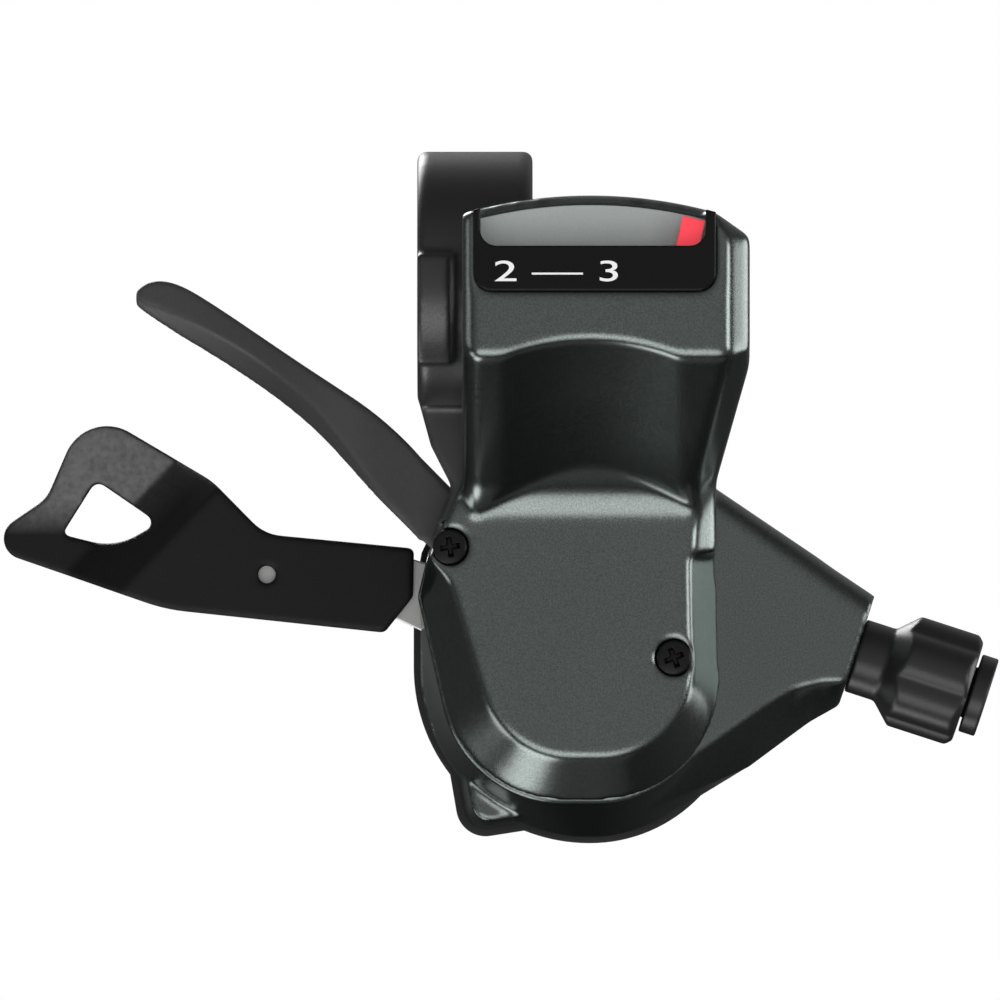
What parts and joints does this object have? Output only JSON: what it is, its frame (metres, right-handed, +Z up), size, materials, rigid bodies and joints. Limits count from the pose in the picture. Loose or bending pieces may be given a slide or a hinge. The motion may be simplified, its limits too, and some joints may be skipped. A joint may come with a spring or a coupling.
{
  "type": "flat-bar trigger shifter",
  "caption": "Thumb-operated shifter for a flat bicycle handlebar, with a bar clamp, a winding lever, a release lever, a gear display and a barrel adjuster for the cable.",
  "frame": {"origin": "centre of the handlebar clamp's bore", "axes": "+X along the handlebar, +Z up, -Y towards the rider, who sees the display face on"},
  "size_m": [0.111, 0.0513, 0.077],
  "materials": {
    "clamp_black": "satin black paint on a cast clamp",
    "steel": "plain steel",
    "cover_paint": "dark grey-green metallic paint",
    "lid_black": "moulded black plastic",
    "gloss_black": "gloss black plastic",
    "clear_lens": "clear plastic window",
    "dial_silver": "silver-grey paint",
    "black_screw": "blackened steel screw",
    "lever_black": "satin black, fine grain",
    "needle_red": "red plastic",
    "drum_plastic": "pale moulded plastic",
    "knob_black": "satin black plastic"
  },
  "bodies": {
    "shifter_body": {"clamp_bracket": "clamp_black", "clamp_bolt": "steel", "clamp_nut": "steel", "top_cover": "cover_paint", "main_housing": "cover_paint", "rear_cover": "lid_black", "display_bezel": "gloss_black", "display_lens": "clear_lens", "dial_plate": "dial_silver", "display_back_cover": "lid_black", "cover_screws": "black_screw", "housing_screws": "steel", "rear_cover_screws": "black_screw", "main_axle": "steel", "axle_nut": "steel", "front_washer": "steel", "middle_washer": "steel", "rear_washer": "steel", "stop_pawl_pin": "steel", "main_lever_spring": "steel", "release_lever_spring": "steel"},
    "main_lever": {"main_lever_plate": "steel", "main_lever_pad": "lever_black", "feed_pawl_pin": "steel"},
    "feed_pawl_body": {"feed_pawl": "steel"},
    "release_lever_body": {"release_lever": "lever_black"},
    "drum_body": {"winding_drum": "drum_plastic", "index_plate": "steel", "feed_ratchet": "steel", "drum_rivets": "steel", "indicator_arm": "steel", "indicator_needle": "needle_red"},
    "stop_pawl_body": {"stop_pawl": "steel"},
    "knob_body": {"adjuster_knob": "knob_black"},
    "bolt_body": {"adjuster_bolt": "knob_black"}
  },
  "joints": [
    {"name": "main_lever_swing", "type": "hinge", "parent": "shifter_body", "child": "main_lever", "pos_m": [0.0128, 0.0115, -0.0428], "axis": [0, -1, 0], "range_deg": [0, 32], "stiffness_Nm_per_rad": 0.05, "springref_deg": -28.65},
    {"name": "feed_pawl_swing", "type": "hinge", "parent": "main_lever", "child": "feed_pawl_body", "pos_m": [0.0037, 0.0115, -0.05291], "axis": [0, -1, 0], "range_deg": [0, 14], "stiffness_Nm_per_rad": 0.002, "springref_deg": -17.19},
    {"name": "release_lever_swing", "type": "hinge", "parent": "shifter_body", "child": "release_lever_body", "pos_m": [0.0128, 0.0115, -0.0428], "axis": [0, 1, 0], "range_deg": [0, 7], "stiffness_Nm_per_rad": 0.05, "springref_deg": -28.65},
    {"name": "drum_turn", "type": "hinge", "parent": "shifter_body", "child": "drum_body", "pos_m": [0.0128, 0.0115, -0.0428], "axis": [0, -1, 0], "range_deg": [0, 24]},
    {"name": "stop_pawl_swing", "type": "hinge", "parent": "shifter_body", "child": "stop_pawl_body", "pos_m": [0.02415, 0.0115, -0.04521], "axis": [0, 1, 0], "range_deg": [-18, 0], "stiffness_Nm_per_rad": 0.002, "springref_deg": 17.19},
    {"name": "adjuster_turn", "type": "hinge", "parent": "shifter_body", "child": "knob_body", "pos_m": [0.04233, 0.0115, -0.04188], "axis": [0.9511, 0, -0.309], "range_deg": [0, 1440]},
    {"name": "adjuster_travel", "type": "slide", "parent": "shifter_body", "child": "bolt_body", "axis": [0.9511, 0, -0.309], "range_m": [0, 0.0033]}
  ],
  "couplings": [
    {"joint": "adjuster_travel", "follows": "adjuster_turn", "m_per_rad": 0.00012732}
  ]
}
